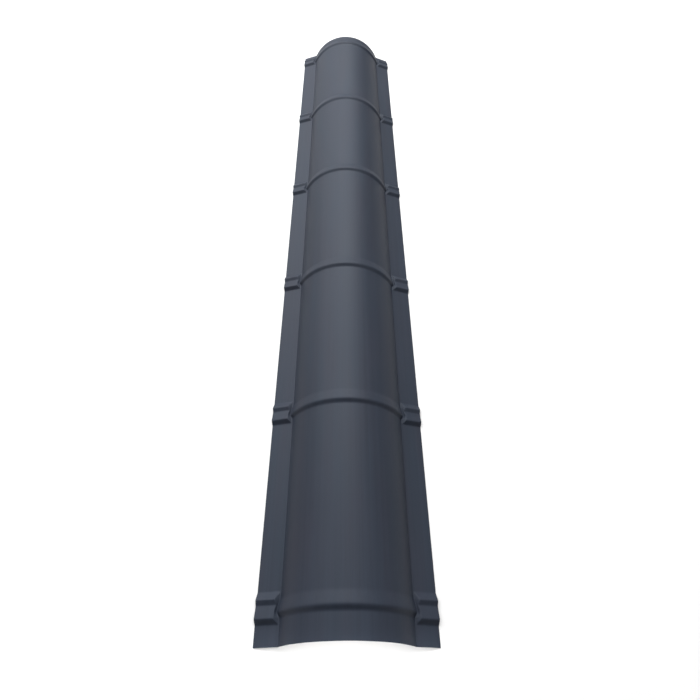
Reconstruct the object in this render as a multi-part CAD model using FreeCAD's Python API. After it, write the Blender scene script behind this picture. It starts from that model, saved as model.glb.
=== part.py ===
import FreeCAD, Part
import math
import os

from FreeCAD import Vector

# Roof ridge cap: one sheet of coated steel, roll formed and stamped.
# Its section is a round arch between two sloping flanges. Stamped joints
# cross it at an even pitch: a bead over the arch, and on each flange two
# stepped beads, whose inner ends slope down to the valley. Seen from the
# near end, each bead and step rises gently behind its crest and falls
# steeply in front of it.
# Millimetres and degrees. +Z is up, Y runs along the ridge, and the near
# end is at -Y. The origin is on the ground, under the middle of the cap.

# Sheet
sheet_thickness = 0.5

# Length: the joints, and what the sheet has beyond the first and the last
joint_count = 6
joint_pitch = 380.0
near_overhang = 57.0
far_overhang = 43.0

# Section: the arch stands on the chord between the two valleys
arch_chord = 228.0
arch_rise = 71.0
valley_radius = 2.5
flange_width = 45.0
flange_slope = 17.5

# Bead over the arch. Its crest lies a little nearer than the middle of the joint.
bead_height = 4.4
bead_rise_run = 20.0
bead_fall_run = 14.0
bead_crest_offset = 2.5

# Stepped beads on a flange, at equal distances from the middle of the joint
step_height = 6.5
step_spacing = 30.0
step_dip_height = 3.0
step_rise_run = 13.0
step_fall_run = 7.5
step_rounding = 3.0

# Inner end of the stepped beads, measured across the flange from the valley
step_clearance = 3.0
step_end_run = 7.5

# How far the bodies that shape the sheet reach past it
spare = 20.0

os.makedirs("parts", exist_ok=True)

length = near_overhang + (joint_count - 1) * joint_pitch + far_overhang
joint_places = [near_overhang + i * joint_pitch for i in range(joint_count)]
arch_radius = (arch_chord ** 2 / 4 + arch_rise ** 2) / (2 * arch_rise)
arch_axis = Vector(0, 0, arch_rise - arch_radius)
along_ridge = Vector(0, 1, 0)
slope = math.radians(flange_slope)
flange_out = Vector(math.cos(slope), 0, -math.sin(slope))
flange_up = Vector(math.sin(slope), 0, math.cos(slope))
valley = Vector(arch_chord / 2, 0, 0)


def rounded_path(corners):
    """Edges in the YZ plane through corners (y, z, radius), each rounded to its radius."""
    points = [Vector(0, y, z) for y, z, radius in corners]
    edges = []
    start = points[0]
    for i in range(1, len(points) - 1):
        corner = points[i]
        radius = corners[i][2]
        back = (points[i - 1] - corner).normalize()
        ahead = (points[i + 1] - corner).normalize()
        half_angle = back.getAngle(ahead) / 2
        cut = radius / math.tan(half_angle)
        inwards = (back + ahead).normalize()
        middle = corner + inwards * (radius / math.sin(half_angle) - radius)
        first = corner + back * cut
        last = corner + ahead * cut
        edges.append(Part.makeLine(start, first))
        edges.append(Part.Arc(first, middle, last).toShape())
        start = last
    edges.append(Part.makeLine(start, points[-1]))
    return edges


def smooth_edge(start, end):
    """Edge in the YZ plane from start to end, running level at both."""
    lead = Vector(0, (end.y - start.y) / 3, 0)
    curve = Part.BezierCurve()
    curve.setPoles([start, start + lead, end - lead, end])
    return curve.toShape()


def face_under(path, floor):
    """Face between a path in the YZ plane and a level floor below it."""
    start = path[0].Vertexes[0].Point
    end = path[-1].Vertexes[-1].Point
    low_end = Vector(0, end.y, floor)
    low_start = Vector(0, start.y, floor)
    around = [
        Part.makeLine(end, low_end),
        Part.makeLine(low_end, low_start),
        Part.makeLine(low_start, start),
    ]
    return Part.Face(Part.Wire(path + around))


def arch_body(depth, past):
    """What lies under the beaded arch: its profile turned about the arch's axis."""
    level = arch_radius - depth
    path = []
    start = Vector(0, -past, level)
    for place in joint_places:
        crest = Vector(0, place - bead_crest_offset, level + bead_height)
        near_foot = Vector(0, crest.y - bead_fall_run, level)
        far_foot = Vector(0, crest.y + bead_rise_run, level)
        path.append(Part.makeLine(start, near_foot))
        path.append(smooth_edge(near_foot, crest))
        path.append(smooth_edge(crest, far_foot))
        start = far_foot
    path.append(Part.makeLine(start, Vector(0, length + past, level)))
    profile = face_under(path, 0)
    profile.translate(arch_axis)
    half_turn = math.degrees(math.asin(arch_chord / 2 / arch_radius)) + 10
    profile.rotate(arch_axis, along_ridge, -half_turn)
    return profile.revolve(arch_axis, along_ridge, 2 * half_turn)


def valley_body(depth, past):
    """What fills the corner between the arch and the right flange, up to the bend's radius."""
    radius = valley_radius + depth
    to_axis = arch_axis - valley
    reach = arch_radius + valley_radius
    above_axis = valley_radius - to_axis.dot(flange_up)
    across = to_axis.dot(flange_out) + math.sqrt(reach ** 2 - above_axis ** 2)
    centre = valley + flange_out * across + flange_up * valley_radius
    to_arch = (arch_axis - centre).normalize()
    on_flange = centre - flange_up * radius
    on_arch = centre + to_arch * radius
    middle = centre + (to_arch - flange_up).normalize() * radius
    root = valley - flange_up * spare
    around = [
        Part.Arc(on_arch, middle, on_flange).toShape(),
        Part.makeLine(on_flange, root),
        Part.makeLine(root, on_arch),
    ]
    fill = Part.Face(Part.Wire(around)).extrude(along_ridge * (length + 2 * past))
    fill.translate(along_ridge * -past)
    return fill


def flange_body(depth, past):
    """What lies under the right flange and its stepped beads."""
    reach = flange_width + past
    base = Part.makeLine(Vector(0, -past, 0), Vector(0, length + past, 0))
    steps = [(-past, 0, 0)]
    for place in joint_places:
        near = place - step_spacing / 2
        far = place + step_spacing / 2
        steps.append((near - step_fall_run, 0, step_rounding + depth))
        steps.append((near, step_height, step_rounding - depth))
        steps.append((far - step_fall_run, step_dip_height, step_rounding + depth))
        steps.append((far, step_height, step_rounding - depth))
        steps.append((far + step_rise_run, 0, step_rounding + depth))
    steps.append((length + past, 0, 0))
    slab = prism(face_under([base], -2 * spare), -2 * spare, reach, depth)
    beads = prism(face_under(rounded_path(steps), -2 * spare), 0, reach, depth)
    return slab.fuse(beads.common(step_end_body(depth, past)))


def prism(profile, start, end, depth):
    """The profile laid on the flange's plane and drawn out across the flange."""
    tilt = FreeCAD.Rotation(Vector(0, 1, 0), flange_slope)
    solid = profile.extrude(Vector(end - start, 0, 0))
    solid.translate(Vector(start, 0, -depth))
    solid.Placement = FreeCAD.Placement(valley, tilt) * solid.Placement
    return solid


def step_end_body(depth, past):
    """What lies under the sloping inner ends of the stepped beads."""
    shift = depth * math.tan(math.atan2(step_height, step_end_run) / 2)
    inner = step_clearance + shift
    top = 2 * step_height
    far_out = inner + step_end_run * top / step_height
    outline = [
        Vector(inner - step_end_run, 0, -step_height),
        Vector(far_out, 0, top),
        Vector(flange_width + 2 * past, 0, top),
        Vector(flange_width + 2 * past, 0, -step_height),
    ]
    wire = Part.makePolygon(outline + outline[:1])
    solid = Part.Face(wire).extrude(Vector(0, length + 2 * past, 0))
    solid.translate(Vector(0, -past, -depth))
    tilt = FreeCAD.Rotation(Vector(0, 1, 0), flange_slope)
    solid.Placement = FreeCAD.Placement(valley, tilt) * solid.Placement
    return solid


def filled_cap(depth, past):
    """The cap as a full body, with its top face at a depth below the sheet's top face."""
    right = flange_body(depth, past).fuse(valley_body(depth, past))
    left = right.mirror(Vector(0, 0, 0), Vector(1, 0, 0))
    return arch_body(depth, past).fuse([right, left]).removeSplitter().Solids[0]


def ridge_cap():
    """The sheet: what lies between its top face and its underside."""
    sheet = filled_cap(0, 0).cut(filled_cap(sheet_thickness, spare)).Solids[0]
    drop = flange_out * flange_width - flange_up * sheet_thickness
    sheet.translate(Vector(0, -length / 2, -drop.z))
    return sheet


shape = ridge_cap()
shape.exportStep("parts/ridge_cap.step")
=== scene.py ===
import math

import bpy
import numpy as np
from mathutils import Matrix, Vector


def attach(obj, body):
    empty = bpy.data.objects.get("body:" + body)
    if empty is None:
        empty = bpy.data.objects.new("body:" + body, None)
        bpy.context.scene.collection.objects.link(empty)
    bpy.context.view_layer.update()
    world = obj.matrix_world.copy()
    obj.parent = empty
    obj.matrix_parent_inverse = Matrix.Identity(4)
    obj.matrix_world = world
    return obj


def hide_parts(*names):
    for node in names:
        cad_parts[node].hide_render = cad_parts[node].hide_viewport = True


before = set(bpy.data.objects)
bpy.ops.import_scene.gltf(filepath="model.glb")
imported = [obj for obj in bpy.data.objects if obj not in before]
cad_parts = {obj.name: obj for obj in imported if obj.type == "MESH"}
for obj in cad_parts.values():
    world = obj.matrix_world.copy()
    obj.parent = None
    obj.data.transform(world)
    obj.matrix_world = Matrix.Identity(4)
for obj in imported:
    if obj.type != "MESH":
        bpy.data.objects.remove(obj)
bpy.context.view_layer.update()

# Roof ridge cap: one coated steel sheet, remade as a fine smooth mesh over the
# solid of the frame. Lengths are millimetres, but for the lights and the floor.
MM = 0.001

# Sheet and section
SHEET_THICKNESS = 0.5
ARCH_CHORD = 228.0
ARCH_RISE = 71.0
VALLEY_RADIUS = 2.5
FLANGE_WIDTH = 45.0
FLANGE_SLOPE = math.radians(17.5)

# Length and joints
JOINT_COUNT = 6
JOINT_PITCH = 380.0
NEAR_OVERHANG = 57.0
FAR_OVERHANG = 43.0
LENGTH = NEAR_OVERHANG + (JOINT_COUNT - 1) * JOINT_PITCH + FAR_OVERHANG

# Bead over the arch, which also pushes the valleys outwards. Its far side comes
# down to a shoulder, and runs out from there over a long tail.
BEAD_HEIGHT = 4.28
BEAD_SPREAD = 5.5
BEAD_RISE_RUN = 20.0
BEAD_SHOULDER = 0.38
BEAD_TAIL_RUN = 90.0
BEAD_FALL_RUN = 14.0
BEAD_ROUNDING = 3.0
BEAD_CREST_OFFSET = 2.5

# Stepped beads on the flanges
STEP_HEIGHT = 6.5
STEP_SPACING = 30.0
STEP_DIP_HEIGHT = 3.0
STEP_RISE_RUN = 13.0
STEP_FALL_RUN = 8.5
STEP_ROUNDING = 1.3

# Inner ends of the stepped beads: they slope down towards the valley, and stop
# short of it or of its bend
STEP_CLEARANCE = 2.2
STEP_END_RUN = 8.5
STEP_END_ROUNDING = 0.6

# Mesh density: rows along the sheet, columns across it, and the samples that
# are averaged to round a corner
JOINT_REACH = 32.0
JOINT_STATIONS = 64
RUN_STATIONS = 7
FLANGE_COLUMNS = 6
STEP_END_COLUMNS = 18
STEP_END_MARGIN = 3.0
VALLEY_COLUMNS = 5
ARCH_COLUMNS = 44
ROUNDING_SAMPLES = 11
STEP_END_SAMPLES = 9
SHARP_ANGLE = math.radians(40)

# Camera of the photograph, from a fit to the cap's corners, valleys and beads
CAMERA_BEHIND_FIRST_JOINT = 177.1
CAMERA_ABOVE_VALLEY = 997.0
CAMERA_SIDE = -29.6
CAMERA_PITCH = math.radians(53.96)
CAMERA_YAW = math.radians(2.918)
CAMERA_ROLL = math.radians(3.237)
FOCAL_PIXELS = 533.3
IMAGE_PIXELS = 700
SENSOR_WIDTH = 36.0

# Finishes: the part of a noise's range that shows, how far the gloss varies,
# the grain of a lacquer, and the bare metal of the cut edge, made dark as painted shade
NOISE_RANGE = (0.3, 0.7)
GLOSS_SPREAD = 0.04
GRAIN_STRENGTH = 0.25
GRAIN_HEIGHT = 0.1
SHADED_EDGE_COLOUR = (0.13, 0.135, 0.145)

# Cool light and a warm floor, which looks white in it
LIGHT_COLOUR = (0.94, 1.0, 1.08)
FLOOR_COLOUR = (0.80, 0.75, 0.694)

# Floor: half its width, and how far it lies below the cap, in metres
FLOOR_HALF = 12.0
FLOOR_DROP = 0.0005

# Large soft lights: side in metres, then each one's place in metres and power in watts
LIGHT_SIDE = 4.0
AREA_LIGHTS = {
    "far_light": ((0, 4.8, 4.8), 357),
    "far_left_light": ((-4, 4, 4), 266),
    "far_low_light": ((-3, 6.5, 2.5), 55),
    "far_top_light": ((0, 2.6, 5.4), 230),
    "left_light": ((-4, 0, 4.8), 73),
    "right_light": ((4, 0, 4.8), 71),
}
ROOM_STRENGTH = 0.1

UP = np.array([0.0, 1.0])
FLANGE_OUT = np.array([math.cos(FLANGE_SLOPE), -math.sin(FLANGE_SLOPE)])
FLANGE_UP = np.array([math.sin(FLANGE_SLOPE), math.cos(FLANGE_SLOPE)])
VALLEY_HEIGHT = FLANGE_WIDTH * math.sin(FLANGE_SLOPE) + SHEET_THICKNESS * math.cos(FLANGE_SLOPE)
VALLEY = np.array([ARCH_CHORD / 2, VALLEY_HEIGHT])
JOINT_PLACES = [NEAR_OVERHANG + i * JOINT_PITCH - LENGTH / 2 for i in range(JOINT_COUNT)]


def stations():
    """Places along Y: close together at the joints, a few on each run between them."""
    edges = [-LENGTH / 2]
    for place in JOINT_PLACES:
        edges += [place - JOINT_REACH, place + JOINT_REACH]
    edges.append(LENGTH / 2)
    places = []
    for i, (start, end) in enumerate(zip(edges, edges[1:])):
        count = JOINT_STATIONS if i % 2 else RUN_STATIONS
        places.append(np.linspace(start, end, count, endpoint=False))
    places.append(np.array([LENGTH / 2]))
    return np.concatenate(places)


def rounded(corners, places, rounding):
    """Height of the line through the corners, averaged over the rounding on each side."""
    ys, heights = zip(*corners)
    shifts = np.linspace(-rounding, rounding, ROUNDING_SAMPLES)
    return np.mean([np.interp(places + shift, ys, heights) for shift in shifts], axis=0)


def smooth_step(share):
    """A share from 0 to 1 that starts and ends level, with no sudden bend."""
    share = np.clip(share, 0, 1)
    return share ** 3 * (share * (6 * share - 15) + 10)


def bead_share(places, far_side):
    """The bead's share of its full height, at places along Y from its crest."""
    return smooth_step(1 + places / BEAD_FALL_RUN) * rounded(far_side, places, BEAD_ROUNDING)


def joint_heights(places):
    """At each place: height of the arch's bead, of its push on the valley, and of the steps."""
    bead = np.zeros_like(places)
    spread = np.zeros_like(places)
    step = np.zeros_like(places)
    bead_far_side = [(0.0, 1.0), (BEAD_RISE_RUN, BEAD_SHOULDER), (BEAD_TAIL_RUN, 0.0)]
    spread_far_side = [(0.0, 1.0), (BEAD_RISE_RUN, 0.0)]
    near, far = -STEP_SPACING / 2, STEP_SPACING / 2
    step_corners = [
        (near - STEP_FALL_RUN, 0.0),
        (near, STEP_HEIGHT),
        (far - STEP_FALL_RUN, STEP_DIP_HEIGHT),
        (far, STEP_HEIGHT),
        (far + STEP_RISE_RUN, 0.0),
    ]
    for joint in JOINT_PLACES:
        from_crest = places - joint + BEAD_CREST_OFFSET
        bead += bead_share(from_crest, bead_far_side)
        spread += bead_share(from_crest, spread_far_side)
        step += rounded(step_corners, places - joint, STEP_ROUNDING)
    return BEAD_HEIGHT * bead, BEAD_SPREAD * spread, step


def arc(centre, radius, start, end, count):
    """Points on an arc from one direction to another, without the first one."""
    start_angle = math.atan2(start[1], start[0])
    end_angle = math.atan2(end[1], end[0])
    turn = (end_angle - start_angle + math.pi) % (2 * math.pi) - math.pi
    angles = start_angle + turn * np.linspace(0, 1, count + 1)[1:]
    return centre + radius * np.stack([np.cos(angles), np.sin(angles)], 1)


def flange_points(bend, step):
    """Points from the flange's edge to the valley's bend, over a step and its inner end."""
    foot = max(STEP_CLEARANCE, bend + STEP_END_ROUNDING)
    fold = STEP_CLEARANCE + STEP_END_RUN
    dense_start = fold + STEP_END_MARGIN
    outer_places = np.linspace(FLANGE_WIDTH, dense_start, FLANGE_COLUMNS)[:-1]
    inner_places = np.linspace(dense_start, bend, STEP_END_COLUMNS)
    places = np.concatenate([outer_places, inner_places])
    shifts = np.linspace(-STEP_END_ROUNDING, STEP_END_ROUNDING, STEP_END_SAMPLES)
    ends = [STEP_HEIGHT * (places + shift - foot) / (fold - foot) for shift in shifts]
    heights = np.mean(np.clip(ends, 0, step), axis=0)
    return VALLEY + np.outer(places, FLANGE_OUT) + np.outer(heights, FLANGE_UP)


def half_section(bead, spread, step):
    """Points (x, z) of the right half, from the flange's edge to the crown."""
    foot = VALLEY + FLANGE_OUT * spread
    crown_height = VALLEY_HEIGHT + ARCH_RISE + bead
    rise = crown_height - foot[1]
    radius = (foot[0] ** 2 + rise ** 2) / (2 * rise)
    centre = np.array([0.0, crown_height - radius])

    # Centre of the valley's bend, which touches the arch and the flange
    offset = centre - foot
    reach = radius + VALLEY_RADIUS
    across = offset @ FLANGE_OUT + math.sqrt(reach ** 2 - (VALLEY_RADIUS - offset @ FLANGE_UP) ** 2)
    bend_centre = foot + FLANGE_OUT * across + FLANGE_UP * VALLEY_RADIUS

    flange = flange_points(spread + across, step)
    bend = arc(bend_centre, VALLEY_RADIUS, -FLANGE_UP, centre - bend_centre, VALLEY_COLUMNS)
    arch = arc(centre, radius, bend[-1] - centre, UP, ARCH_COLUMNS // 2)
    return np.concatenate([flange, bend, arch])


def top_grid():
    """Points of the sheet's top face: one row for each station."""
    places = stations()
    beads, spreads, steps = joint_heights(places)
    rows = []
    for place, bead, spread, step in zip(places, beads, spreads, steps):
        half = half_section(bead, spread, step)
        across = np.concatenate([half, half[-2::-1] * np.array([-1, 1])])
        rows.append(np.insert(across, 1, place, axis=1))
    return np.array(rows)


def grid_normals(grid):
    """Unit normals of a grid, pointing up."""
    along = np.gradient(grid, axis=0)
    across = np.gradient(grid, axis=1)
    normals = np.cross(across, along)
    normals /= np.linalg.norm(normals, axis=2, keepdims=True)
    return normals * np.sign(normals[..., 2:3].mean())


def sheet_mesh():
    """The sheet as a closed mesh: top face, underside and cut edges."""
    top = top_grid()
    under = top - grid_normals(top) * SHEET_THICKNESS
    rows, columns, _ = top.shape
    size = rows * columns
    index = np.arange(size).reshape(rows, columns)
    quads = np.stack([index[:-1, :-1], index[1:, :-1], index[1:, 1:], index[:-1, 1:]], axis=-1)
    quads = quads.reshape(-1, 4)
    rim = np.concatenate([index[0], index[1:, -1], index[-1, -2::-1], index[-2:0:-1, 0]])
    next_on_rim = np.roll(rim, -1)
    edge = np.stack([next_on_rim, next_on_rim + size, rim + size, rim], axis=-1)
    faces = np.concatenate([quads, quads[:, ::-1] + size, edge])
    points = np.concatenate([top.reshape(-1, 3), under.reshape(-1, 3)]) * MM
    mesh = bpy.data.meshes.new("ridge_cap_sheet")
    mesh.from_pydata(points.tolist(), [], faces.tolist())
    slots = np.repeat([0, 1, 2], [len(quads), len(quads), len(edge)])
    mesh.polygons.foreach_set("material_index", slots.astype(np.int32))
    mesh.shade_smooth()
    mesh.set_sharp_from_angle(angle=SHARP_ANGLE)
    mesh.update()
    return mesh


def shader(name, colour, roughness):
    """A new material with its shader set to a colour and a roughness."""
    material = bpy.data.materials.new(name)
    material.use_nodes = True
    bsdf = material.node_tree.nodes["Principled BSDF"]
    bsdf.inputs["Base Color"].default_value = (*colour, 1)
    bsdf.inputs["Roughness"].default_value = roughness
    return material, material.node_tree, bsdf


def noise(tree, stretch, scale, detail):
    """A noise on the object's own places, drawn out by a stretch along each axis."""
    place = tree.nodes.new("ShaderNodeTexCoord")
    mapping = tree.nodes.new("ShaderNodeMapping")
    mapping.inputs["Scale"].default_value = [1 / s for s in stretch]
    texture = tree.nodes.new("ShaderNodeTexNoise")
    texture.inputs["Scale"].default_value = scale
    texture.inputs["Detail"].default_value = detail
    tree.links.new(place.outputs["Object"], mapping.inputs["Vector"])
    tree.links.new(mapping.outputs["Vector"], texture.inputs["Vector"])
    return texture.outputs["Fac"]


def blend(tree, kind, factor, first, second):
    """A mix of two values or colours. The factor is a number or an output."""
    mix = tree.nodes.new("ShaderNodeMix")
    mix.data_type = kind
    sockets = [socket for socket in mix.inputs if socket.enabled]
    if isinstance(factor, float):
        sockets[0].default_value = factor
    else:
        tree.links.new(factor, sockets[0])
    tree.links.new(first, sockets[1])
    tree.links.new(second, sockets[2])
    return next(socket for socket in mix.outputs if socket.enabled)


def shades(tree, factor, colour, depth):
    """The colour made darker and lighter by a depth, after the factor."""
    ramp = tree.nodes.new("ShaderNodeValToRGB")
    for element, position, share in zip(ramp.color_ramp.elements, NOISE_RANGE, (1 - depth, 1 + depth)):
        element.position = position
        element.color = (*(share * value for value in colour), 1)
    tree.links.new(factor, ramp.inputs["Fac"])
    return ramp.outputs["Color"]


def lacquer(name, colour, warm_colour, depth, roughness, specular):
    """Matt lacquer on rolled sheet: soft clouds, streaks along the sheet and a fine grain."""
    material, tree, bsdf = shader(name, colour, roughness)
    bsdf.inputs["Specular IOR Level"].default_value = specular
    clouds = noise(tree, stretch=(1, 3, 1), scale=9, detail=3)
    wide_streaks = noise(tree, stretch=(1, 90, 1), scale=130, detail=2)
    fine_streaks = noise(tree, stretch=(1, 150, 1), scale=600, detail=2)
    streaks = blend(tree, "FLOAT", 0.4, wide_streaks, fine_streaks)
    wear = blend(tree, "FLOAT", 0.6, clouds, streaks)
    tint = noise(tree, stretch=(1, 8, 1), scale=32, detail=2)
    cool = shades(tree, wear, colour, depth)
    warm = shades(tree, wear, warm_colour, depth)
    tree.links.new(blend(tree, "RGBA", tint, cool, warm), bsdf.inputs["Base Color"])

    gloss = tree.nodes.new("ShaderNodeMapRange")
    gloss.inputs["From Min"].default_value = NOISE_RANGE[0]
    gloss.inputs["From Max"].default_value = NOISE_RANGE[1]
    gloss.inputs["To Min"].default_value = roughness - GLOSS_SPREAD
    gloss.inputs["To Max"].default_value = roughness + GLOSS_SPREAD
    tree.links.new(wear, gloss.inputs["Value"])
    tree.links.new(gloss.outputs["Result"], bsdf.inputs["Roughness"])

    grain = noise(tree, stretch=(1, 1, 1), scale=900, detail=3)
    bump = tree.nodes.new("ShaderNodeBump")
    bump.inputs["Strength"].default_value = GRAIN_STRENGTH
    bump.inputs["Distance"].default_value = GRAIN_HEIGHT * MM
    tree.links.new(grain, bump.inputs["Height"])
    tree.links.new(bump.outputs["Normal"], bsdf.inputs["Normal"])
    return material


def painted_steel():
    """The blue-grey coil coating on the sheet's top face."""
    cool = (0.0191, 0.0266, 0.0376)
    warm = (0.0257, 0.0254, 0.0348)
    return lacquer("blue_grey_coil_coating", cool, warm, depth=0.18, roughness=0.55, specular=0.2)


def back_coat():
    """The thin grey lacquer on the sheet's underside."""
    cool = (0.29, 0.31, 0.32)
    warm = (0.32, 0.31, 0.29)
    return lacquer("grey_back_coat", cool, warm, depth=0.08, roughness=0.5, specular=0.4)


def cut_edge():
    """Bare zinc and steel where the sheet was cut, darkened as painted shade, with the fine marks of
    the shear.
    """
    # Painted shade: the edge's metal colour is kept dark so that the edge looks shaded
    material, tree, bsdf = shader("shaded_cut_edge", SHADED_EDGE_COLOUR, roughness=0.45)
    bsdf.inputs["Metallic"].default_value = 0.8
    marks = noise(tree, stretch=(1, 1, 12), scale=900, detail=3)
    tree.links.new(shades(tree, marks, SHADED_EDGE_COLOUR, depth=0.3), bsdf.inputs["Base Color"])
    return material


def add_cap():
    """The sheet, in place of the frame's solid."""
    cap = bpy.data.objects.new("ridge_cap_sheet", sheet_mesh())
    bpy.context.scene.collection.objects.link(cap)
    for material in (painted_steel(), back_coat(), cut_edge()):
        cap.data.materials.append(material)
    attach(cap, "root")
    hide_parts("ridge_cap")


def add_floor():
    """A plain pale floor."""
    mesh = bpy.data.meshes.new("floor")
    half = FLOOR_HALF
    corners = [(-half, -half, 0), (half, -half, 0), (half, half, 0), (-half, half, 0)]
    mesh.from_pydata(corners, [], [(0, 1, 2, 3)])
    floor = bpy.data.objects.new("floor", mesh)
    floor.location.z = -FLOOR_DROP
    bpy.context.scene.collection.objects.link(floor)
    material, _, bsdf = shader("pale_floor", FLOOR_COLOUR, roughness=0.9)
    bsdf.inputs["Specular IOR Level"].default_value = 0.1
    mesh.materials.append(material)


def add_lamp(light, place, target):
    """A lamp with the light at a place, facing a target."""
    lamp = bpy.data.objects.new(light.name, light)
    lamp.location = place
    way = Vector(target) - Vector(place)
    lamp.rotation_euler = way.to_track_quat("-Z", "Y").to_euler()
    bpy.context.scene.collection.objects.link(lamp)


def add_area_light(name, place, watts):
    """A soft square light at a place, facing the middle of the cap."""
    light = bpy.data.lights.new(name, "AREA")
    light.color = LIGHT_COLOUR
    light.size = LIGHT_SIDE
    light.energy = watts
    add_lamp(light, place, (0, 0, 0))


def add_front_light():
    """A spot that fills the shadow on the floor in front of the near end, clear of the cap."""
    light = bpy.data.lights.new("front_light", "SPOT")
    light.color = LIGHT_COLOUR
    light.spot_size = math.radians(33)
    light.spot_blend = 0.15
    light.shadow_soft_size = 0.03
    light.energy = 75
    add_lamp(light, (0, -1.6, 1.0), (0, -1.3, 0))


def add_lights():
    """A dim room, large soft lights that are mostly on the far side, and the front light."""
    world = bpy.data.worlds.new("studio")
    world.use_nodes = True
    background = world.node_tree.nodes["Background"]
    background.inputs["Color"].default_value = (*LIGHT_COLOUR, 1)
    background.inputs["Strength"].default_value = ROOM_STRENGTH
    bpy.context.scene.world = world
    for name, (place, watts) in AREA_LIGHTS.items():
        add_area_light(name, place, watts)
    add_front_light()


def add_camera():
    """The photograph's camera, behind and above the near end."""
    data = bpy.data.cameras.new("photo_camera")
    data.sensor_width = SENSOR_WIDTH
    data.lens = FOCAL_PIXELS * SENSOR_WIDTH / IMAGE_PIXELS
    camera = bpy.data.objects.new("photo_camera", data)
    level = Vector((math.sin(CAMERA_YAW), math.cos(CAMERA_YAW), 0))
    forward = level * math.cos(CAMERA_PITCH) - Vector((0, 0, math.sin(CAMERA_PITCH)))
    right = Vector((math.cos(CAMERA_YAW), -math.sin(CAMERA_YAW), 0))
    up = right.cross(forward)
    rolled_right = right * math.cos(CAMERA_ROLL) + up * math.sin(CAMERA_ROLL)
    rolled_up = up * math.cos(CAMERA_ROLL) - right * math.sin(CAMERA_ROLL)
    axes = Matrix((rolled_right, rolled_up, -forward)).transposed()
    behind = JOINT_PLACES[0] - CAMERA_BEHIND_FIRST_JOINT
    place = Vector((CAMERA_SIDE, behind, VALLEY_HEIGHT + CAMERA_ABOVE_VALLEY)) * MM
    camera.matrix_world = Matrix.Translation(place) @ axes.to_4x4()
    bpy.context.scene.collection.objects.link(camera)
    bpy.context.scene.camera = camera


add_cap()
add_floor()
add_lights()
add_camera()
bpy.context.scene.view_settings.view_transform = "Standard"
